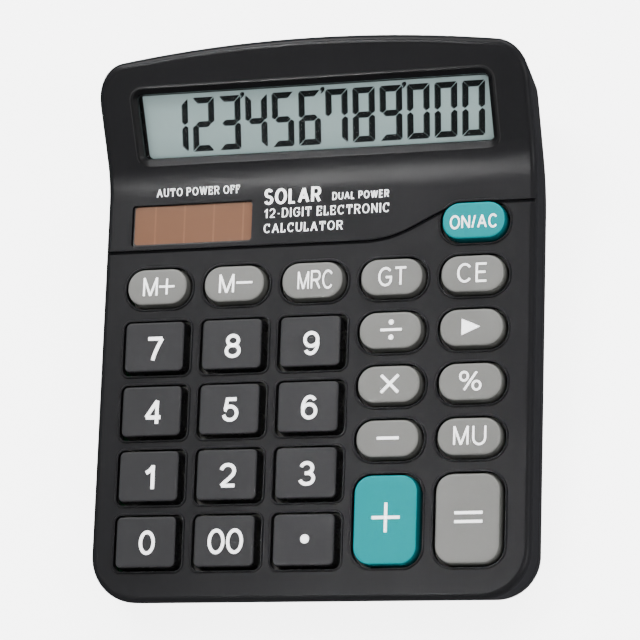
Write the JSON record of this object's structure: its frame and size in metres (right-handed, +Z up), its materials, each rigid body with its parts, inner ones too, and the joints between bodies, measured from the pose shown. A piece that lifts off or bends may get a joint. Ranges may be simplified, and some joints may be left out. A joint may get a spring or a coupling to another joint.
{
  "type": "desk calculator",
  "caption": "Desk calculator with a sloping key deck, a tilted display hood, sprung push keys, a solar window and a sliding battery door.",
  "frame": {"origin": "on the desk, under the middle of the case's bounding box", "axes": "+X to the user's right, +Y away from the user towards the display hood, +Z up"},
  "size_m": [0.118, 0.1443, 0.0379],
  "materials": {
    "board_green": "solder-mask gloss",
    "bracket_white": "moulded",
    "capacitor_sleeve": "shrink sleeve",
    "carbon_rubber": "matt carbon rubber",
    "case_black": "fine matt texture",
    "cell_jacket": "printed jacket without marks",
    "clear_window": "clear and polished",
    "contact_steel": "nickel plated spring steel",
    "display_glass": "clear and polished",
    "dome_rubber": "translucent silicone",
    "epoxy_black": "semi-gloss",
    "foam": "matt foam",
    "foot_rubber": "matt",
    "key_black": "satin",
    "key_grey": "satin",
    "key_teal": "satin top with glossy sides",
    "polariser": "semi-gloss film",
    "reflector": "satin foil",
    "resistor_black": "semi-gloss",
    "ribbon": "satin film",
    "screw_steel": "zinc plated",
    "solar_cell": "dark amorphous cell with fine lines",
    "wire_black": "insulation",
    "wire_red": "insulation"
  },
  "bodies": {
    "case": {"battery_cell": "cell_jacket", "board_screws": "screw_steel", "bracket_screws": "screw_steel", "capacitor": "capacitor_sleeve", "case_screws": "screw_steel", "chip_cover": "epoxy_black", "circuit_board": "board_green", "contact_pills": "carbon_rubber", "display_window": "clear_window", "dome_sheet": "dome_rubber", "foot_front_left": "foot_rubber", "foot_front_right": "foot_rubber", "foot_rear_left": "foot_rubber", "foot_rear_right": "foot_rubber", "lcd_bracket": "bracket_white", "lcd_foam": "foam", "lcd_front_plate": "display_glass", "lcd_front_polariser": "polariser", "lcd_rear_plate": "display_glass", "lcd_reflector": "reflector", "lcd_ribbon": "ribbon", "lower_case": "case_black", "negative_spring": "contact_steel", "positive_contact": "contact_steel", "resistors": "resistor_black", "solar_cell": "solar_cell", "solar_pad": "foam", "solar_window": "clear_window", "upper_case": "case_black", "wire_battery_negative": "wire_black", "wire_battery_positive": "wire_red", "wire_solar_negative": "wire_black", "wire_solar_positive": "wire_red"},
    "battery_door": {"battery_door": "case_black"},
    "key_0": {"key_0": "key_black"},
    "key_1": {"key_1": "key_black"},
    "key_2": {"key_2": "key_black"},
    "key_3": {"key_3": "key_black"},
    "key_4": {"key_4": "key_black"},
    "key_5": {"key_5": "key_black"},
    "key_6": {"key_6": "key_black"},
    "key_7": {"key_7": "key_black"},
    "key_8": {"key_8": "key_black"},
    "key_9": {"key_9": "key_black"},
    "key_add": {"key_add": "key_teal"},
    "key_all_clear": {"key_all_clear": "key_teal"},
    "key_backspace": {"key_backspace": "key_grey"},
    "key_clear_entry": {"key_clear_entry": "key_grey"},
    "key_decimal": {"key_decimal": "key_black"},
    "key_divide": {"key_divide": "key_grey"},
    "key_double_zero": {"key_double_zero": "key_black"},
    "key_equals": {"key_equals": "key_grey"},
    "key_grand_total": {"key_grand_total": "key_grey"},
    "key_mark_up": {"key_mark_up": "key_grey"},
    "key_memory_minus": {"key_memory_minus": "key_grey"},
    "key_memory_plus": {"key_memory_plus": "key_grey"},
    "key_memory_recall": {"key_memory_recall": "key_grey"},
    "key_multiply": {"key_multiply": "key_grey"},
    "key_percent": {"key_percent": "key_grey"},
    "key_subtract": {"key_subtract": "key_grey"}
  },
  "joints": [
    {"name": "press_0", "type": "slide", "parent": "case", "child": "key_0", "axis": [0, 0.0698, -0.9976], "range_m": [0, 0.00115], "stiffness_N_per_m": 400, "springref_m": -0.0003, "deforming": ["dome_sheet"]},
    {"name": "press_1", "type": "slide", "parent": "case", "child": "key_1", "axis": [0, 0.0698, -0.9976], "range_m": [0, 0.00115], "stiffness_N_per_m": 400, "springref_m": -0.0003, "deforming": ["dome_sheet"]},
    {"name": "press_2", "type": "slide", "parent": "case", "child": "key_2", "axis": [0, 0.0698, -0.9976], "range_m": [0, 0.00115], "stiffness_N_per_m": 400, "springref_m": -0.0003, "deforming": ["dome_sheet"]},
    {"name": "press_3", "type": "slide", "parent": "case", "child": "key_3", "axis": [0, 0.0698, -0.9976], "range_m": [0, 0.00115], "stiffness_N_per_m": 400, "springref_m": -0.0003, "deforming": ["dome_sheet"]},
    {"name": "press_4", "type": "slide", "parent": "case", "child": "key_4", "axis": [0, 0.0698, -0.9976], "range_m": [0, 0.00115], "stiffness_N_per_m": 400, "springref_m": -0.0003, "deforming": ["dome_sheet"]},
    {"name": "press_5", "type": "slide", "parent": "case", "child": "key_5", "axis": [0, 0.0698, -0.9976], "range_m": [0, 0.00115], "stiffness_N_per_m": 400, "springref_m": -0.0003, "deforming": ["dome_sheet"]},
    {"name": "press_6", "type": "slide", "parent": "case", "child": "key_6", "axis": [0, 0.0698, -0.9976], "range_m": [0, 0.00115], "stiffness_N_per_m": 400, "springref_m": -0.0003, "deforming": ["dome_sheet"]},
    {"name": "press_7", "type": "slide", "parent": "case", "child": "key_7", "axis": [0, 0.0698, -0.9976], "range_m": [0, 0.00115], "stiffness_N_per_m": 400, "springref_m": -0.0003, "deforming": ["dome_sheet"]},
    {"name": "press_8", "type": "slide", "parent": "case", "child": "key_8", "axis": [0, 0.0698, -0.9976], "range_m": [0, 0.00115], "stiffness_N_per_m": 400, "springref_m": -0.0003, "deforming": ["dome_sheet"]},
    {"name": "press_9", "type": "slide", "parent": "case", "child": "key_9", "axis": [0, 0.0698, -0.9976], "range_m": [0, 0.00115], "stiffness_N_per_m": 400, "springref_m": -0.0003, "deforming": ["dome_sheet"]},
    {"name": "press_add", "type": "slide", "parent": "case", "child": "key_add", "axis": [0, 0.0698, -0.9976], "range_m": [0, 0.00115], "stiffness_N_per_m": 400, "springref_m": -0.0003, "deforming": ["dome_sheet"]},
    {"name": "press_all_clear", "type": "slide", "parent": "case", "child": "key_all_clear", "axis": [0, 0.0698, -0.9976], "range_m": [0, 0.00115], "stiffness_N_per_m": 400, "springref_m": -0.0003, "deforming": ["dome_sheet"]},
    {"name": "press_backspace", "type": "slide", "parent": "case", "child": "key_backspace", "axis": [0, 0.0698, -0.9976], "range_m": [0, 0.00115], "stiffness_N_per_m": 400, "springref_m": -0.0003, "deforming": ["dome_sheet"]},
    {"name": "press_clear_entry", "type": "slide", "parent": "case", "child": "key_clear_entry", "axis": [0, 0.0698, -0.9976], "range_m": [0, 0.00115], "stiffness_N_per_m": 400, "springref_m": -0.0003, "deforming": ["dome_sheet"]},
    {"name": "press_decimal", "type": "slide", "parent": "case", "child": "key_decimal", "axis": [0, 0.0698, -0.9976], "range_m": [0, 0.00115], "stiffness_N_per_m": 400, "springref_m": -0.0003, "deforming": ["dome_sheet"]},
    {"name": "press_divide", "type": "slide", "parent": "case", "child": "key_divide", "axis": [0, 0.0698, -0.9976], "range_m": [0, 0.00115], "stiffness_N_per_m": 400, "springref_m": -0.0003, "deforming": ["dome_sheet"]},
    {"name": "press_double_zero", "type": "slide", "parent": "case", "child": "key_double_zero", "axis": [0, 0.0698, -0.9976], "range_m": [0, 0.00115], "stiffness_N_per_m": 400, "springref_m": -0.0003, "deforming": ["dome_sheet"]},
    {"name": "press_equals", "type": "slide", "parent": "case", "child": "key_equals", "axis": [0, 0.0698, -0.9976], "range_m": [0, 0.00115], "stiffness_N_per_m": 400, "springref_m": -0.0003, "deforming": ["dome_sheet"]},
    {"name": "press_grand_total", "type": "slide", "parent": "case", "child": "key_grand_total", "axis": [0, 0.0698, -0.9976], "range_m": [0, 0.00115], "stiffness_N_per_m": 400, "springref_m": -0.0003, "deforming": ["dome_sheet"]},
    {"name": "press_mark_up", "type": "slide", "parent": "case", "child": "key_mark_up", "axis": [0, 0.0698, -0.9976], "range_m": [0, 0.00115], "stiffness_N_per_m": 400, "springref_m": -0.0003, "deforming": ["dome_sheet"]},
    {"name": "press_memory_minus", "type": "slide", "parent": "case", "child": "key_memory_minus", "axis": [0, 0.0698, -0.9976], "range_m": [0, 0.00115], "stiffness_N_per_m": 400, "springref_m": -0.0003, "deforming": ["dome_sheet"]},
    {"name": "press_memory_plus", "type": "slide", "parent": "case", "child": "key_memory_plus", "axis": [0, 0.0698, -0.9976], "range_m": [0, 0.00115], "stiffness_N_per_m": 400, "springref_m": -0.0003, "deforming": ["dome_sheet"]},
    {"name": "press_memory_recall", "type": "slide", "parent": "case", "child": "key_memory_recall", "axis": [0, 0.0698, -0.9976], "range_m": [0, 0.00115], "stiffness_N_per_m": 400, "springref_m": -0.0003, "deforming": ["dome_sheet"]},
    {"name": "press_multiply", "type": "slide", "parent": "case", "child": "key_multiply", "axis": [0, 0.0698, -0.9976], "range_m": [0, 0.00115], "stiffness_N_per_m": 400, "springref_m": -0.0003, "deforming": ["dome_sheet"]},
    {"name": "press_percent", "type": "slide", "parent": "case", "child": "key_percent", "axis": [0, 0.0698, -0.9976], "range_m": [0, 0.00115], "stiffness_N_per_m": 400, "springref_m": -0.0003, "deforming": ["dome_sheet"]},
    {"name": "press_subtract", "type": "slide", "parent": "case", "child": "key_subtract", "axis": [0, 0.0698, -0.9976], "range_m": [0, 0.00115], "stiffness_N_per_m": 400, "springref_m": -0.0003, "deforming": ["dome_sheet"]},
    {"name": "slide_battery_door", "type": "slide", "parent": "case", "child": "battery_door", "axis": [0, 1, 0], "range_m": [0, 0.02]}
  ]
}
